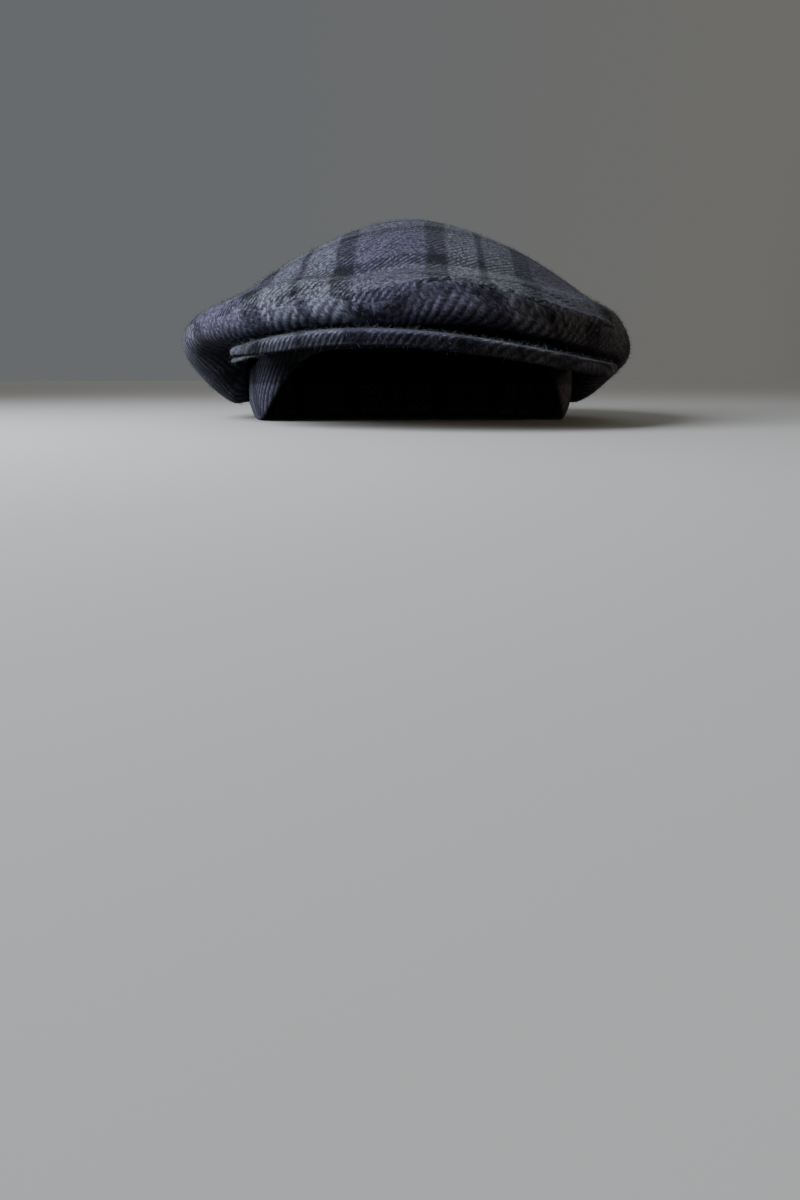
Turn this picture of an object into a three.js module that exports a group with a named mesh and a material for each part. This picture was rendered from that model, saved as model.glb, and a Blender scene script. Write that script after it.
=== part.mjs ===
// A flat cap of thick woven wool, resting by itself on a level surface.
// Millimetres, +Z up, the peak towards -Y, the origin under the middle of the cap's outline.
import * as THREE from "three";
import { ParametricGeometry } from "three/addons/geometries/ParametricGeometry.js";

// Driving sizes.
const HEAD_LENGTH = 206; // inside the band, forehead to nape
const HEAD_WIDTH = 161; // inside the band, temple to temple
const CLOTH = 2.4; // one wall of wool
const GAP = 0.3; // clearance between neighbouring pieces
const CROWN_TOP = 97;
const CROWN_TOP_BACK = 8; // how far behind the middle the crown is highest

// The peak, as its upper surface.
const PEAK_DEPTH = 42; // at the middle, from the band to the free edge
const PEAK_SPAN = 59; // degrees either side of the front
const PEAK_HALF_WIDTH = 86;
const PEAK_HEIGHT = 35.1; // the middle of the free edge above the resting surface
const PEAK_DROOP = 0.085; // fall per mm towards the free edge
const PEAK_ARCH = 12.1; // fall from the middle to the corners
const PEAK_TWIST = 8.9; // the half at +X leans down by this much, the other as much up
const PEAK_RECOVERY = 6.3; // by which the corner at +X comes up again and the other goes down
const PEAK_UPPER = 3.4; // thickness
const PEAK_UNDER = 1.8; // thickness
const PEAK_SETBACK = 0.7; // the under cover ends this far inside the upper one
const PEAK_FULLNESS = 2.4; // power of its outline: the more, the squarer its corners
const PEAK_TAPER = 8; // nearer the tips than this, measured in depth, it thins out

// The band's lower edge is level up to BAND_LEVEL ahead of the middle, then climbs to BAND_BROW.
const BAND_LEVEL = 30;
const BAND_BROW = 90;
const BAND_RISE = 32;
const BAND_TUCK = 3; // the lower edge turns in by this much
const BAND_HEIGHT = 26;
const BAND_FRONT_HEIGHT = 18;

// Rings of the crown from the top down to its seam on the band. front, side and back are pairs: reach
// from the middle, and height. follow is how far a ring keeps to the peak's arch in front; its front
// height fades into its side height between the two angles of fade.
const RINGS = [
  { name: "top", front: [10, 95.9], side: [14, 95.4], back: [24, 96.6], follow: 0, fade: [0, 90] },
  { name: "crown", front: [36, 89.8], side: [38, 86.6], back: [50, 94], follow: 0, fade: [0, 90] },
  { name: "slope", front: [75, 75.2], side: [66, 71.6], back: [86, 83], follow: 0.1, fade: [0, 90] },
  { name: "crest", front: [104, 61.8], side: [91, 56], back: [111, 67], follow: 0.3, fade: [0, 90] },
  { name: "turn", front: [123, 57.4], side: [105, 48.5], back: [123, 55], follow: 0.7, fade: [20, 90] },
  { name: "bulge", front: [132, 48], side: [113, 36], back: [128, 39], follow: 1, fade: [40, 90] },
  { name: "under", front: [129, 41.2], side: [108, 22.5], back: [123, 22], follow: 1, fade: [58, 88] },
  { name: "droop", front: [119, 38.9], side: [89, 6.8], back: [111, 6.8], follow: 1, fade: [64, 86] },
  { name: "seam", front: [106, 39.8], side: [83.5, 11.5], back: [106, 11.5], follow: 1, fade: [66, 86] },
];

// Main folds and dents of the crown: angle round from the front (plus towards +X) and its spread, in
// degrees; along and width, shares of the way from the top to the seam; lift in mm, minus for a dent.
const FOLDS = [
  { name: "ridge over the roll", angle: 14, spread: 36, along: 0.51, width: 0.05, lift: 2.2 },
  { name: "furrow behind the ridge", angle: 6, spread: 34, along: 0.43, width: 0.05, lift: -2 },
  { name: "left dent", angle: -20, spread: 11, along: 0.47, width: 0.06, lift: -3.4 },
  { name: "right dent", angle: 46, spread: 16, along: 0.45, width: 0.06, lift: -3.2 },
  { name: "left shoulder dip", angle: -76, spread: 16, along: 0.5, width: 0.05, lift: -1.8 },
  { name: "left fullness", angle: -72, spread: 22, along: 0.63, width: 0.1, lift: 1.6 },
  { name: "right slackness", angle: 76, spread: 24, along: 0.66, width: 0.12, lift: -3.2 },
  { name: "right shoulder", angle: 80, spread: 40, along: 0.33, width: 0.12, lift: 1.8 },
];
const FOLDS_START = 0.1; // above this share of the way down there are none

const CROWN_COLUMNS = 72;
const CROWN_ROWS = 24;
const PEAK_COLUMNS = 36;
const BAND_ROWS = 3;

// Where the points of a peak layer stand: shares of its flat part, then of its rounded edge.
const PEAK_STEPS = [
  { flat: 0, edge: 0 },
  { flat: 0.4, edge: 0 },
  { flat: 0.75, edge: 0 },
  { flat: 1, edge: 0 },
  { flat: 1, edge: 0.55 },
  { flat: 1, edge: 0.88 },
  { flat: 1, edge: 1 },
];

const RADIANS = Math.PI / 180;
const smooth = THREE.MathUtils.smoothstep;
const lerp = THREE.MathUtils.lerp;

// A point of an oval given by its half width and its reaches to the front and the back.
function ovalPoint(angle, halfWidth, front, back) {
  const forward = Math.cos(angle) * (Math.cos(angle) > 0 ? front : back);
  return { x: halfWidth * Math.sin(angle), forward };
}

// Height of the peak's upper surface, carried on over the whole front.
function peakHeight(x, forward) {
  const across = x / PEAK_HALF_WIDTH;
  const within = THREE.MathUtils.clamp(across, -1, 1);
  const reach = HEAD_LENGTH / 2 + CLOTH + GAP + PEAK_DEPTH;
  const lean = PEAK_RECOVERY * within ** 3 - PEAK_TWIST * across;
  return PEAK_HEIGHT + PEAK_DROOP * (reach - forward) - PEAK_ARCH * across * across + lean;
}

function ringPoint(ring, angle) {
  const [frontReach, frontZ] = ring.front;
  const [sideReach, sideZ] = ring.side;
  const [backReach, backZ] = ring.back;
  const { x, forward } = ovalPoint(angle, sideReach, frontReach, backReach);
  const turned = Math.abs(angle) / RADIANS;
  if (turned > 90) {
    return new THREE.Vector3(x, -forward, lerp(sideZ, backZ, Math.cos(angle) ** 2));
  }
  const arched = frontZ + ring.follow * (peakHeight(x, forward) - peakHeight(0, frontReach));
  return new THREE.Vector3(x, -forward, lerp(arched, sideZ, smooth(turned, ...ring.fade)));
}

// The crown's outside along one angle, as a curve from the top to the seam.
const meridians = new Map();
function meridian(angle) {
  if (!meridians.has(angle)) {
    const top = new THREE.Vector3(0, CROWN_TOP_BACK, CROWN_TOP);
    const points = [top, ...RINGS.map((ring) => ringPoint(ring, angle))];
    meridians.set(angle, new THREE.CatmullRomCurve3(points, false, "centripetal"));
  }
  return meridians.get(angle);
}

function foldLift(angle, along) {
  let lift = 0;
  for (const fold of FOLDS) {
    const away = THREE.MathUtils.euclideanModulo(angle / RADIANS - fold.angle + 180, 360) - 180;
    const turn = away / fold.spread;
    const step = (along - fold.along) / fold.width;
    lift += fold.lift * Math.exp(-turn * turn - step * step);
  }
  return lift * smooth(along, 0, FOLDS_START);
}

// Unit normal of a surface(angle, along, target), pointing out of the cap.
function normalOf(surface, angle, along) {
  if (along < 0.01) return new THREE.Vector3(0, 0, 1);
  const small = 0.002;
  const a = new THREE.Vector3();
  const b = new THREE.Vector3();
  surface(angle + small, along, a);
  surface(angle - small, along, b);
  const round = a.clone().sub(b);
  surface(angle, Math.min(along + small, 1), a);
  surface(angle, along - small, b);
  return a.sub(b).cross(round).normalize();
}

function crownBase(angle, along, target) {
  target.copy(meridian(angle).getPoint(along));
}

function crownOutside(angle, along, target) {
  const normal = normalOf(crownBase, angle, along);
  crownBase(angle, along, target);
  target.addScaledVector(normal, foldLift(angle, along));
}

// A cloth wall as one closed surface: down its outside, across its edge and up its inside.
function clothWall(outside, thickness, columns, rows) {
  const steps = 2 * rows + 1;
  const near = new THREE.Vector3();
  const far = new THREE.Vector3();
  const inside = (angle, along, target) => {
    const normal = normalOf(outside, angle, along);
    outside(angle, along, target);
    target.addScaledVector(normal, -thickness);
  };
  const wall = (u, v, target) => {
    const angle = Math.PI * (1 - 2 * u);
    const step = v * steps;
    outside(angle, Math.min(step / rows, 1), near);
    inside(angle, Math.min((steps - step) / rows, 1), far);
    target.lerpVectors(near, far, THREE.MathUtils.clamp(step - rows, 0, 1));
  };
  return new ParametricGeometry(wall, columns, steps);
}

// How high the band's lower and upper edges stand at a distance ahead of the middle.
function bandClimb(forward) {
  return smooth(forward, BAND_LEVEL, BAND_BROW);
}

// The band's section at one angle, as a closed loop: down the outside, up the inside.
function bandGeometry() {
  const steps = 2 * BAND_ROWS + 2;
  const section = (u, v, target) => {
    const angle = Math.PI * (1 - 2 * u);
    const step = (v * steps) % steps;
    const down = THREE.MathUtils.clamp(step / BAND_ROWS, 0, 1);
    const up = THREE.MathUtils.clamp((step - BAND_ROWS - 1) / BAND_ROWS, 0, 1);
    const inward = THREE.MathUtils.clamp(step - BAND_ROWS, 0, 1);
    const outward = THREE.MathUtils.clamp(step - 2 * BAND_ROWS - 1, 0, 1);
    const tuck = BAND_TUCK * Math.max(0, 1 - BAND_ROWS * (1 - down + up));
    const wall = CLOTH * (1 - inward + outward) - tuck;
    const point = ovalPoint(angle, HEAD_WIDTH / 2 + wall, HEAD_LENGTH / 2 + wall, HEAD_LENGTH / 2 + wall);
    const inner = ovalPoint(angle, HEAD_WIDTH / 2, HEAD_LENGTH / 2, HEAD_LENGTH / 2);
    const climb = bandClimb(inner.forward);
    const low = BAND_RISE * climb;
    const high = low + lerp(BAND_HEIGHT, BAND_FRONT_HEIGHT, climb);
    target.set(point.x, -point.forward, lerp(high, low, down - up));
  };
  return new ParametricGeometry(section, CROWN_COLUMNS, steps);
}

// One layer of the peak, from tip to tip: out along its top, round its edge and back underneath.
function peakGeometry(below, thickness, setback) {
  const rows = PEAK_STEPS.length - 1;
  const steps = 2 * rows + 1;
  const halfWidth = HEAD_WIDTH / 2 + CLOTH + GAP;
  const halfLength = HEAD_LENGTH / 2 + CLOTH + GAP;
  const layer = (u, v, target) => {
    const turn = Math.sin((0.5 - u) * Math.PI);
    const angle = PEAK_SPAN * RADIANS * turn;
    const step = Math.round(v * steps) % steps;
    const { flat, edge } = PEAK_STEPS[Math.min(step, 2 * rows - step)];
    const reach = Math.sqrt(Math.max(0, 1 - Math.abs(turn) ** PEAK_FULLNESS));
    const depth = (PEAK_DEPTH - setback) * reach;
    const full = thickness * Math.min(1, Math.sqrt(depth / PEAK_TAPER));
    const rim = Math.min(full / 2, depth);
    const out = flat * (depth - rim) + edge * rim;
    const base = ovalPoint(angle, halfWidth, halfLength, halfLength);
    const normal = new THREE.Vector2(Math.sin(angle) / halfWidth, Math.cos(angle) / halfLength).normalize();
    const x = base.x + normal.x * out;
    const forward = base.forward + normal.y * out;
    const half = (full / 2) * Math.sqrt(1 - edge * edge) * (step <= rows ? 1 : -1);
    target.set(x, -forward, peakHeight(x, forward) - below - full / 2 + half);
  };
  return new ParametricGeometry(layer, PEAK_COLUMNS, steps);
}

function piece(name, geometry, color, roughness) {
  const mesh = new THREE.Mesh(geometry, new THREE.MeshStandardMaterial({ color, roughness, metalness: 0 }));
  mesh.name = name;
  return mesh;
}

const cap = new THREE.Group();
cap.name = "flat_cap";
cap.add(piece("crown", clothWall(crownOutside, CLOTH, CROWN_COLUMNS, CROWN_ROWS), 0x4c4c58, 0.95));
cap.add(piece("band", bandGeometry(), 0x3f4047, 0.95));
cap.add(piece("peak_upper", peakGeometry(0, PEAK_UPPER, 0), 0x4c4c58, 0.95));
cap.add(piece("peak_under", peakGeometry(PEAK_UPPER + GAP, PEAK_UNDER, PEAK_SETBACK), 0x55565a, 0.95));

const outline = new THREE.Box3().setFromObject(cap);
const middle = outline.getCenter(new THREE.Vector3());
cap.position.set(-middle.x, -middle.y, -outline.min.z);

export default cap;
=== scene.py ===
"""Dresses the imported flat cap: checked wool on the crown, band and peak, wool nap, and a plain stage."""

import math

import bpy
import numpy as np
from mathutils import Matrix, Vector, noise


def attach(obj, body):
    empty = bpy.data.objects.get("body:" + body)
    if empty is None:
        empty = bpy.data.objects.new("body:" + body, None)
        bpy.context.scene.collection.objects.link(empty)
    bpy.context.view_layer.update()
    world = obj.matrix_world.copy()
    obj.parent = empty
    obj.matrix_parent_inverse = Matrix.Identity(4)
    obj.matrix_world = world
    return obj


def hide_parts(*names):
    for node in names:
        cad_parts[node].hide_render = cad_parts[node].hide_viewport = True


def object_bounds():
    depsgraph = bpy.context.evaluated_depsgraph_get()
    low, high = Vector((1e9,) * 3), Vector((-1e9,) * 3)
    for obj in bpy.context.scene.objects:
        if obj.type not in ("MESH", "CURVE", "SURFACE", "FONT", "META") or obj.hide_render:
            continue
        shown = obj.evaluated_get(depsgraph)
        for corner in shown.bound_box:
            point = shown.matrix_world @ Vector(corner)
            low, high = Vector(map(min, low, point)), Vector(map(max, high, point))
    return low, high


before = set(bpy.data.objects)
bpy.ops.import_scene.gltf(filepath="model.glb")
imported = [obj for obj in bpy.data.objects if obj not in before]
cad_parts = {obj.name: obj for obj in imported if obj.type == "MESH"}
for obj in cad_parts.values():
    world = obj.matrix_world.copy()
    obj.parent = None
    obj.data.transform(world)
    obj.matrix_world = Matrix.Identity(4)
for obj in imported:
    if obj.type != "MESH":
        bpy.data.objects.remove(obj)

bl_info = {
    "name": "Flat cap",
    "version": (1, 0, 0),
    "blender": (4, 5, 0),
    "location": "View3D > Sidebar > Flat cap",
    "description": "Checked wool flat cap around its packed solids",
    "category": "Add Mesh",
}

MM = 0.001
CAD_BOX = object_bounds()
BODY = "root"
WEAVE_MAP = "weave"  # UV map: the cloth laid flat, in metres
FLATTENED = "flattened"  # attribute: how far the ribs are pressed flat
BELOW_RIDGE = "below_ridge"  # attribute: distance down the cloth from the ridge line
MERGE_DISTANCE = 0.01 * MM
SMOOTHING = 2  # rounds of subdivision

# The photograph's camera, in the frame's metres.
IMAGE_HEIGHT = 1200
FOCAL_PIXELS = 867
SENSOR = 36  # mm, along the long side of the image
CAMERA_PLACE = (-43.75 * MM, -458 * MM, 19 * MM)
CAMERA_PITCH = math.radians(90 - 14.2)  # 14.2 degrees down from level
CAMERA_TURN = math.radians(-5)
CAMERA_NEAR = 10 * MM

# The stage, in metres. A light's power is in watts for the spot, in watts per square metre for a sun.
FLOOR_SIZE = 120  # so wide that its far edge lies at the horizon
LIGHTS = (
    {"name": "key_light", "kind": "SPOT", "place": (-0.44, -0.27, 0.36), "power": 23},
    {"name": "fill_light", "kind": "SUN", "place": (-1.7, -0.3, 0.5), "power": 0.65},
    {"name": "warm_light", "kind": "SUN", "place": (1.8, -0.5, 0.22), "power": 0.8},
    {"name": "back_light", "kind": "SUN", "place": (0.0, 1.7, 0.5), "power": 0.26},
)
KEY_RADIUS = 0.22
KEY_CONE = math.radians(150)
SUN_SPREAD = math.radians(25)  # how wide each sun looks from the cap

# The light from all round. place runs from 0 at -X to 1 at +X.
SURROUND_STRENGTH = 0.25
SURROUND_STOPS = (
    {"place": 0.45, "colour": "surround_left"},
    {"place": 0.72, "colour": "surround_right"},
    {"place": 0.85, "colour": "surround_far_right"},
)
HORIZON_FADE = (-0.1, 0)  # height of the direction, over which the light from below gives way

# The line where the top panel breaks over the roll. angle in degrees round from the front, plus
# towards +X; drop in mm down the cloth from the solid's row of points at the crest.
RIDGE_LINE = (
    {"angle": -180, "drop": 13},
    {"angle": -90, "drop": 15},
    {"angle": -50, "drop": 20},
    {"angle": -25, "drop": 19.8},
    {"angle": -16, "drop": 25.3},
    {"angle": -10, "drop": 24.6},
    {"angle": -5, "drop": 19.5},
    {"angle": 2, "drop": 14.6},
    {"angle": 10, "drop": 17.4},
    {"angle": 21, "drop": 21.8},
    {"angle": 35, "drop": 22.8},
    {"angle": 48, "drop": 22.5},
    {"angle": 90, "drop": 15},
    {"angle": 180, "drop": 13},
)

# Folds too fine for the solids. angle and spread in degrees, as above; below (measured down the cloth
# from the ridge line), width and lift in mm, minus lift for a dent.
FINE_FOLDS = (
    {"name": "ridge", "angle": 5, "spread": 21, "below": -1.5, "width": 4, "lift": 2.8},
    {"name": "furrow behind the ridge", "angle": 4, "spread": 22, "below": -15, "width": 8, "lift": -2},
    {"name": "lip on the right", "angle": 29, "spread": 15, "below": -1.5, "width": 3.2, "lift": 2.8},
    {"name": "hollow under the lip", "angle": 33, "spread": 14, "below": 6, "width": 5, "lift": -1.1},
    {"name": "dimple at the lip's end", "angle": 47, "spread": 6, "below": -2, "width": 7, "lift": -2},
    {"name": "dent left of the ridge", "angle": -22, "spread": 7, "below": -3, "width": 9, "lift": -3},
    {"name": "curl at the ridge's left", "angle": -12, "spread": 6, "below": 1, "width": 6, "lift": 2.2},
    {"name": "belly of the roll", "angle": -22, "spread": 32, "below": 9, "width": 8, "lift": 2.1},
    {"name": "undercut over the peak", "angle": 19, "spread": 15, "below": 22, "width": 9, "lift": -4},
    {"name": "soft fold on the left", "angle": -48, "spread": 12, "below": -4, "width": 8, "lift": 0.9},
)
SEAM_DEPTH = 0.5  # mm, where the panels are sewn together at the sides and back
SEAM_WIDTH = 1.4
SEAM_STARTS = (62, 78)  # degrees each way from the front, over which the seam comes out of the ridge

# The soft unevenness of the crown's cloth: size of its waves in mm, share of the cloth's slackness.
SLACK_WAVES = (
    {"size": 34, "share": 0.6, "seed": 1},
    {"size": 13, "share": 0.3, "seed": 2},
)
NOISE_STEPS = (7.3, 3.1, 5.7)  # how far apart two seeds read the noise

# How the cloth of the roll is pulled: the more skew, the more upright its ribs; tuck is the cloth in mm
# that the fold along the ridge has taken up on the way from the left.
ROLL_PULL = (
    {"angle": -180, "skew": 0, "tuck": 0},
    {"angle": -90, "skew": 0.3, "tuck": 0},
    {"angle": -35, "skew": 0.3, "tuck": 0},
    {"angle": 0, "skew": 0.5, "tuck": 14},
    {"angle": 15, "skew": 0.6, "tuck": 22},
    {"angle": 28, "skew": 0.95, "tuck": 30},
    {"angle": 48, "skew": 0.95, "tuck": 30},
    {"angle": 80, "skew": 0.7, "tuck": 30},
    {"angle": 120, "skew": 0.2, "tuck": 30},
    {"angle": 180, "skew": 0, "tuck": 30},
)
GATHER = 0.9  # length of the side panel's cloth along the ridge, as a share of the ridge's own
ONE_CLOTH = 52  # degrees each way from the front, where the top runs on over the ridge into the roll

# Where the check falls: distances to the middle of a purple stripe, in mm.
TOP_STRIPE_RIGHT = -11.3  # from the middle of the top, where it crosses TOP_SHEAR_FROM
TOP_STRIPE_FORWARD = 79.8  # down the front from the top
TOP_STRETCH = 1.18  # of the top panel down its front
TOP_SHEAR = 0.1  # the stripes that run forward veer to -X by this much of their way
TOP_SHEAR_FROM = 60  # down the front from the top
ROLL_STRIPE_FORWARD = 16.5  # down from the ridge
PEAK_STRIPE_RIGHT = -9.5
PEAK_STRIPE_FORWARD = 130

# The peak's free edge, in mm.
PEAK_STATIONS = 61  # places across the peak where its edge is read
PEAK_EDGE = 8  # the strip behind the free edge whose cloth turns down
EDGE_STRETCH = 1.6  # cloth drawn round the edge for each mm of its height
LIP_DROP = 2.0  # how far the upper cover turns down over the under cover's edge
LIP_TURN = 2.8  # how far it turns back on the way
LIP_DEPTH = (2, 7)  # back from the free edge, over which the lip dies away
LIP_FACING = (-0.7, 0.5)  # downward share of the normal, over which the lip takes up its turn
LIP_FROM = (-84, -62)  # across the peak: left of this both covers show their edges
UNDER_SET_BACK = 6  # the under cover's edge behind the lip
UNDER_DEPTH = (4, 20)  # back from the free edge, over which the set back dies away
UNDER_TIP_DROP = 0.8  # how far it hangs at the left tip

# How far the twill's ribs are pressed flat.
TOP_FLATTENED = 0.75
PEAK_FLATTENED = 0.35
RIBS_RISE = (2, 10)  # mm below the ridge line, over which they rise again

# The twill's make, in mm. Real fibre is too fine to show, so its specks are drawn far coarser.
FLOAT = 2  # threads that each thread passes over, and then under
REPEAT = 2 * FLOAT
DRIFT_SIZE = 9  # length of the waves in which the threads run
DRIFT_REACH = 1.6  # how far they run out of line
FIBRE_SIZE = 1.3
FRAY_REACH = 3  # how far the fibres of one stripe reach into the next
RELIEF = 0.16  # height of the ribs
FLOAT_RELIEF = 0.3  # height of a single float, as a share of the rib's
FIBRE_RELIEF = 0.9  # height of the fibre, likewise
WARP_UNDER = 0.25  # share of the warp's colour where the weft lies on top
WARP_OVER = (0.55, 1.05)  # and where the warp does, on open and on pressed ribs

# Shades, which the yarn's colour is multiplied by: painted shade and painted highlight on the ribs, a
# random shade from float to float, and fibre specks.
# Painted shade in the hollows between open ribs and painted highlight on their tops; pressed ribs get one
# even painted shade.
RIB_HEIGHTS = (0.1, 1.05)
RIB_PAINTED_SHADES = (0.35, 1.6)  # at those heights of open ribs
PRESSED_SHADE = 0.9
FLOAT_PALEST = (1.25, 1.7)  # palest float on open and on pressed ribs, the darkest as far below 1
FIBRE_VALUES = (0.32, 0.68)
FIBRE_SHADES = (0.25, 1.75)  # at those values of the fibre's noise

# The inner side of the cloth, in mm and shades, with its specks drawn far coarser too.
BACK_FIBRE_SIZE = 0.6
BACK_RELIEF = 0.3
BACK_FIBRE_VALUES = (0.3, 0.7)
BACK_FIBRE_SHADES = (0.6, 1.4)

WOOL = {"Roughness": 0.95, "Specular IOR Level": 0.15, "Sheen Weight": 0.04, "Sheen Roughness": 0.45}
LOOSE_WOOL = {"Roughness": 0.9, "Specular IOR Level": 0.2}
PAPER = {"Roughness": 0.9}

# A loose fibre as a bent three-sided spike: corners 0 to 2 at its root, 3 to 5 half way, 6 its tip.
FIBRE_CORNERS = 7
FIBRE_FACES = (
    (0, 2, 1),
    (0, 1, 4),
    (0, 4, 3),
    (1, 2, 5),
    (1, 5, 4),
    (2, 0, 3),
    (2, 3, 5),
    (3, 4, 6),
    (4, 5, 6),
    (5, 3, 6),
)
FIBRE_RISE = (0.25, 0.9)  # least and most of its way that goes straight off the cloth
FIBRE_SHORTEST = 0.3  # as a share of the longest
FIBRE_BEND = 0.5  # most that it bends to either side
FIBRE_DROOP = 0.4  # most that it bends back to the cloth
FIBRE_TAPER = 2 / 3  # thickness half way, as a share of the root's
NAP_SEED = 11


def hex_to_linear(text):
    """An sRGB hex colour as linear RGBA."""
    shades = [int(text[i : i + 2], 16) / 255 for i in (0, 2, 4)]
    return tuple(s / 12.92 if s <= 0.04045 else ((s + 0.055) / 1.055) ** 2.4 for s in shades) + (1.0,)


def colour_property(name, description, hex_colour):
    return bpy.props.FloatVectorProperty(
        name=name,
        description=description,
        default=hex_to_linear(hex_colour),
        subtype="COLOR",
        size=4,
        min=0,
        max=1,
    )


def length_property(name, description, millimetres):
    return bpy.props.FloatProperty(
        name=name,
        description=description,
        default=millimetres * MM,
        min=0,
        precision=5,
        subtype="DISTANCE",
        unit="LENGTH",
    )


class FlatCapCloth(bpy.types.PropertyGroup):
    """Sizes of the wool cloth."""

    thread: length_property("Thread spacing", "Distance from one thread to the next", 0.85)
    purple_stripe: length_property("Purple stripe", "Width of the purple stripe of the check", 31.5)
    black_stripe: length_property("Black stripe", "Width of each black stripe beside the purple", 9.3)
    grey_stripe: length_property("Grey stripe", "Width of each grey stripe", 14)
    line_stripe: length_property("Thin line", "Width of the black line between the grey stripes", 3.4)
    stripe_blend: length_property("Stripe blend", "Width over which the fulled stripes run together", 1.8)
    wall: length_property("Wall", "Thickness of the crown's cloth", 2.2)
    slackness: length_property("Slackness", "Height of the cloth's soft unevenness", 0.9)
    nap_length: length_property("Nap length", "Length of the longest loose fibres", 3.8)
    # Real fibre is too fine to show, so it is drawn thicker.
    nap_thickness: length_property("Nap thickness", "Thickness of a loose fibre at its root", 0.11)
    crown_fibres: bpy.props.IntProperty(
        name="Crown fibres", description="Number of loose fibres on the crown", default=30000, min=0
    )
    peak_fibres: bpy.props.IntProperty(
        name="Peak fibres",
        description="Number of loose fibres on the peak's upper cover, twice those on its under cover",
        default=3600,
        min=0,
    )


class FlatCapColours(bpy.types.PropertyGroup):
    """Colours of the wool cloth and the stage."""

    purple: colour_property("Purple", "Yarn of the wide stripe", "514f60")
    black: colour_property("Black", "Yarn of the black stripes", "1d1e25")
    grey: colour_property("Grey", "Yarn of the grey stripes", "5f626a")
    # Darker than the grey stripe: partly the plain wool's own colour, partly painted shade for its place
    # under the peak.
    under: colour_property("Under cover", "Plain wool under the peak", "4b4b50")
    bloom: colour_property("Bloom", "Tint of the nap's bloom at grazing angles", "e7ebf3")
    # Paler than the yarn: partly the loose fibre's own colour, partly painted highlight of the light the
    # fuzz catches at the outline.
    fibre: colour_property("Fibre", "Loose fibres of the nap", "63676f")
    back: colour_property("Cloth back", "Inner side of the crown's cloth", "26262a")
    floor: colour_property("Floor", "Plain pale floor", "cfcdc8")
    surround_left: colour_property("Surround on the left", "Light from all round, on the left", "c6cace")
    surround_right: colour_property("Surround on the right", "Light from all round, on the right", "cdccc7")
    surround_far_right: colour_property("Surround far right", "Light from all round, at +X", "8d8880")
    under_light: colour_property("Under light", "Light from below the horizon", "4a4844")
    key_light: colour_property("Key light", "Colour of the main light", "eaf0fb")
    fill_light: colour_property("Fill light", "Colour of the weak light from the left", "f4f6fb")
    warm_light: colour_property("Warm light", "Colour of the weak light from the right", "e6d3a4")
    back_light: colour_property("Back light", "Colour of the weak light from behind", "f4f6fb")


def select_only(piece):
    bpy.ops.object.select_all(action="DESELECT")
    bpy.context.view_layer.objects.active = piece
    piece.select_set(True)


def grow(piece, name, **settings):
    """Adds a modifier with its settings and applies it."""
    select_only(piece)
    modifier = piece.modifiers.new(name, name.upper())
    for setting, value in settings.items():
        setattr(modifier, setting, value)
    bpy.ops.object.modifier_apply(modifier=modifier.name)


def merged_copy(node_name, name):
    """A new piece from a copy of a solid, with its loose triangles merged."""
    piece = bpy.data.objects.new(name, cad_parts[node_name].data.copy())
    piece.data.name = name
    piece.data.materials.clear()
    bpy.context.collection.objects.link(piece)
    select_only(piece)
    bpy.ops.object.mode_set(mode="EDIT")
    bpy.ops.mesh.select_all(action="SELECT")
    bpy.ops.mesh.remove_doubles(threshold=MERGE_DISTANCE)
    bpy.ops.object.mode_set(mode="OBJECT")
    return piece


def smooth_copy(node_name, name):
    """A new piece from a copy of a solid, made quads and smoothed."""
    piece = merged_copy(node_name, name)
    bpy.ops.object.mode_set(mode="EDIT")
    bpy.ops.mesh.select_all(action="SELECT")
    bpy.ops.mesh.tris_convert_to_quads()
    bpy.ops.object.mode_set(mode="OBJECT")
    grow(piece, "Subsurf", levels=SMOOTHING, render_levels=SMOOTHING)
    return piece


def edit_selected(piece, vertices=(), edges=()):
    """Leaves the piece in edit mode with only these vertices or edges selected."""
    bpy.context.view_layer.objects.active = piece
    bpy.ops.object.mode_set(mode="EDIT")
    bpy.ops.mesh.select_mode(type="EDGE" if len(edges) else "VERT")
    bpy.ops.mesh.select_all(action="DESELECT")
    bpy.ops.object.mode_set(mode="OBJECT")
    for index in vertices:
        piece.data.vertices[index].select = True
    for index in edges:
        piece.data.edges[index].select = True
    bpy.ops.object.mode_set(mode="EDIT")


def places(piece):
    """All vertex places of a piece as rows of x, y, z."""
    flat = np.empty(3 * len(piece.data.vertices))
    piece.data.vertices.foreach_get("co", flat)
    return flat.reshape(-1, 3)


def normals(piece):
    flat = np.empty(3 * len(piece.data.vertices))
    piece.data.vertex_normals.foreach_get("vector", flat)
    return flat.reshape(-1, 3)


def move_to(piece, points):
    piece.data.vertices.foreach_set("co", np.asarray(points).ravel())
    piece.data.update()


def smooth_step(value, low, high):
    share = np.clip((value - low) / (high - low), 0, 1)
    return share * share * (3 - 2 * share)


def steps_from(piece, start):
    """How many edges away from the start vertex each vertex is."""
    near = [[] for _ in piece.data.vertices]
    for edge in piece.data.edges:
        a, b = edge.vertices
        near[a].append(b)
        near[b].append(a)
    steps = np.full(len(near), -1)
    steps[start] = 0
    front = [start]
    while front:
        reached = []
        for vertex in front:
            for other in near[vertex]:
                if steps[other] < 0:
                    steps[other] = steps[vertex] + 1
                    reached.append(other)
        front = reached
    return steps


def table_column(table, name, angles):
    """A column of a table by angle in degrees, read at these angles in radians."""
    return np.interp(np.degrees(angles), [row["angle"] for row in table], [row[name] for row in table])


def azimuths(points, centre):
    """Angle of each point round the centre from the front, plus towards +X."""
    return np.arctan2(points[:, 0] - centre[0], centre[1] - points[:, 1])


def soft_noise(points, wavelength, seed):
    """Smooth noise between about -1 and 1 with bumps of the given size."""
    shift = Vector([seed * step for step in NOISE_STEPS])
    return np.array([noise.noise(Vector(p) / wavelength + shift) for p in points])


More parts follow.
